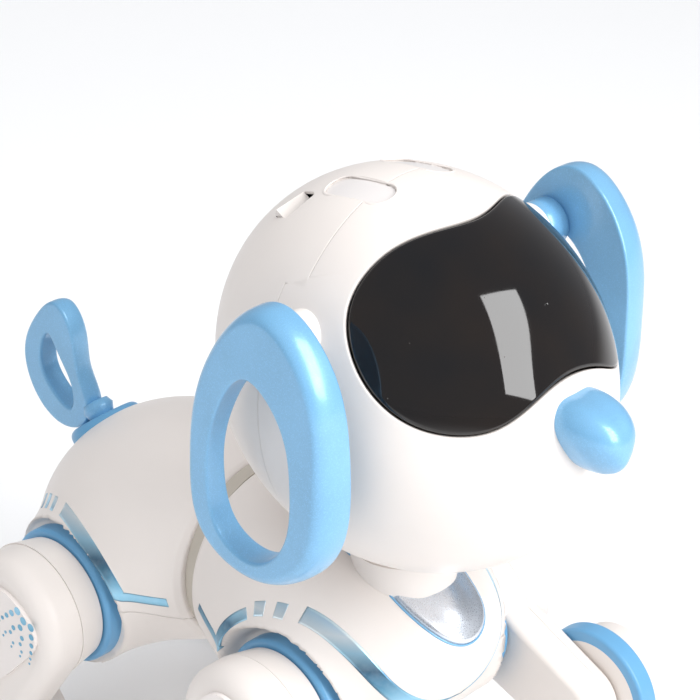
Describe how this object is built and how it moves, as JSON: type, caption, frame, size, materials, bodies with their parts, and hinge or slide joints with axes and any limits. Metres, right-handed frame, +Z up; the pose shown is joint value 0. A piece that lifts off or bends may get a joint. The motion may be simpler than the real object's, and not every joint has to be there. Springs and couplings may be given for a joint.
{
  "type": "robot dog toy",
  "caption": "Jointed plastic robot dog with a ball-shaped head, dark goggle visor, swinging loop ears, a loop tail and two-link legs with pivoting flat paws.",
  "frame": {"origin": "on the floor, in the middle of the length and the width", "axes": "+Z up, the dog faces -Y, its right side is -X"},
  "size_m": [0.1498, 0.2701, 0.2494],
  "materials": {
    "white_shell": "warm white, semi-matte moulded plastic",
    "panel_white": "warm white plastic with foil dots",
    "sole_rubber": "matt rubber",
    "flake_blue": "gloss light blue with fine metallic flake",
    "ring_blue": "satin light blue",
    "visor_black": "polished smoked black",
    "shield_silver": "satin silver with a blue edge",
    "waist_grey": "beige grey, satin",
    "pad_frost": "frosted, slightly blue",
    "steel": "zinc plated",
    "board_green": "solder mask green",
    "battery_wrap": "shrink-wrapped blue film",
    "black_plastic": "moulded black"
  },
  "bodies": {
    "torso": {"battery_door": "white_shell", "battery_pack": "battery_wrap", "body_screws": "steel", "chest_shield": "shield_silver", "front_hip_motor": "black_plastic", "front_lower_shell": "white_shell", "front_upper_shell": "white_shell", "hip_collars": "ring_blue", "main_board": "board_green", "neck_collar": "white_shell", "neck_servo": "black_plastic", "rear_hip_motor": "black_plastic", "rear_lower_shell": "white_shell", "rear_upper_shell": "white_shell", "speaker": "black_plastic", "tail_base": "ring_blue", "tail_motor": "black_plastic", "waist_ring": "waist_grey"},
    "head": {"head_front_shell": "white_shell", "head_rear_shell": "white_shell", "head_port": "white_shell", "visor": "visor_black", "nose": "flake_blue", "eye_board": "board_green", "touch_pads": "pad_frost", "neck_post": "white_shell", "ear_bushes": "white_shell", "ear_axle": "steel"},
    "left_ear": {"left_ear": "flake_blue"},
    "right_ear": {"right_ear": "flake_blue"},
    "tail": {"tail_loop": "flake_blue"},
    "power_switch": {"power_switch": "black_plastic"},
    "front_left_thigh": {"front_left_thigh_inner": "white_shell", "front_left_thigh_outer": "white_shell", "front_left_thigh_panel": "panel_white"},
    "front_left_shin": {"front_left_knee_ring": "ring_blue", "front_left_shin": "white_shell"},
    "front_left_paw": {"front_left_paw": "white_shell", "front_left_sole": "sole_rubber"},
    "front_right_thigh": {"front_right_thigh_inner": "white_shell", "front_right_thigh_outer": "white_shell", "front_right_thigh_panel": "panel_white"},
    "front_right_shin": {"front_right_knee_ring": "ring_blue", "front_right_shin": "white_shell"},
    "front_right_paw": {"front_right_paw": "white_shell", "front_right_sole": "sole_rubber"},
    "rear_left_thigh": {"rear_left_thigh_inner": "white_shell", "rear_left_thigh_outer": "white_shell", "rear_left_thigh_panel": "panel_white"},
    "rear_left_shin": {"rear_left_knee_ring": "ring_blue", "rear_left_shin": "white_shell"},
    "rear_left_paw": {"rear_left_paw": "white_shell", "rear_left_sole": "sole_rubber"},
    "rear_right_thigh": {"rear_right_thigh_inner": "white_shell", "rear_right_thigh_outer": "white_shell", "rear_right_thigh_panel": "panel_white"},
    "rear_right_shin": {"rear_right_knee_ring": "ring_blue", "rear_right_shin": "white_shell"},
    "rear_right_paw": {"rear_right_paw": "white_shell", "rear_right_sole": "sole_rubber"}
  },
  "joints": [
    {"name": "head_turn", "type": "hinge", "parent": "torso", "child": "head", "pos_m": [0, -0.044, 0.123], "axis": [0, 0, 1], "range_deg": [-35, 35]},
    {"name": "tail_wag", "type": "hinge", "parent": "torso", "child": "tail", "pos_m": [0, 0.097, 0.108], "axis": [0, 0.6428, 0.766], "range_deg": [-25, 25]},
    {"name": "switch_slide", "type": "slide", "parent": "torso", "child": "power_switch", "axis": [1, 0, 0], "range_m": [0, 0.004]},
    {"name": "left_ear_swing", "type": "hinge", "parent": "head", "child": "left_ear", "pos_m": [0.066, -0.047, 0.214], "axis": [1, 0, 0], "range_deg": [-20, 25]},
    {"name": "right_ear_swing", "type": "hinge", "parent": "head", "child": "right_ear", "pos_m": [-0.066, -0.047, 0.214], "axis": [1, 0, 0], "range_deg": [-20, 25]},
    {"name": "front_left_hip", "type": "hinge", "parent": "torso", "child": "front_left_thigh", "pos_m": [0.05, -0.03, 0.072], "axis": [1, 0, 0], "range_deg": [-10, 30]},
    {"name": "front_left_knee", "type": "hinge", "parent": "front_left_thigh", "child": "front_left_shin", "pos_m": [0.05, -0.07636, 0.05327], "axis": [1, 0, 0], "range_deg": [-20, 20]},
    {"name": "front_left_ankle", "type": "hinge", "parent": "front_left_shin", "child": "front_left_paw", "pos_m": [0.05, -0.06414, 0.011], "axis": [1, 0, 0], "range_deg": [-12, 12]},
    {"name": "front_right_hip", "type": "hinge", "parent": "torso", "child": "front_right_thigh", "pos_m": [-0.05, -0.03, 0.072], "axis": [1, 0, 0], "range_deg": [-10, 30]},
    {"name": "front_right_knee", "type": "hinge", "parent": "front_right_thigh", "child": "front_right_shin", "pos_m": [-0.05, -0.07636, 0.05327], "axis": [1, 0, 0], "range_deg": [-20, 20]},
    {"name": "front_right_ankle", "type": "hinge", "parent": "front_right_shin", "child": "front_right_paw", "pos_m": [-0.05, -0.06414, 0.011], "axis": [1, 0, 0], "range_deg": [-12, 12]},
    {"name": "rear_left_hip", "type": "hinge", "parent": "torso", "child": "rear_left_thigh", "pos_m": [0.056, 0.069, 0.072], "axis": [1, 0, 0], "range_deg": [-20, 15]},
    {"name": "rear_left_knee", "type": "hinge", "parent": "rear_left_thigh", "child": "rear_left_shin", "pos_m": [0.056, 0.0915, 0.03303], "axis": [1, 0, 0], "range_deg": [-15, 20]},
    {"name": "rear_left_ankle", "type": "hinge", "parent": "rear_left_shin", "child": "rear_left_paw", "pos_m": [0.056, 0.05341, 0.011], "axis": [1, 0, 0], "range_deg": [-12, 12]},
    {"name": "rear_right_hip", "type": "hinge", "parent": "torso", "child": "rear_right_thigh", "pos_m": [-0.056, 0.069, 0.072], "axis": [1, 0, 0], "range_deg": [-20, 15]},
    {"name": "rear_right_knee", "type": "hinge", "parent": "rear_right_thigh", "child": "rear_right_shin", "pos_m": [-0.056, 0.0915, 0.03303], "axis": [1, 0, 0], "range_deg": [-15, 20]},
    {"name": "rear_right_ankle", "type": "hinge", "parent": "rear_right_shin", "child": "rear_right_paw", "pos_m": [-0.056, 0.05341, 0.011], "axis": [1, 0, 0], "range_deg": [-12, 12]}
  ]
}
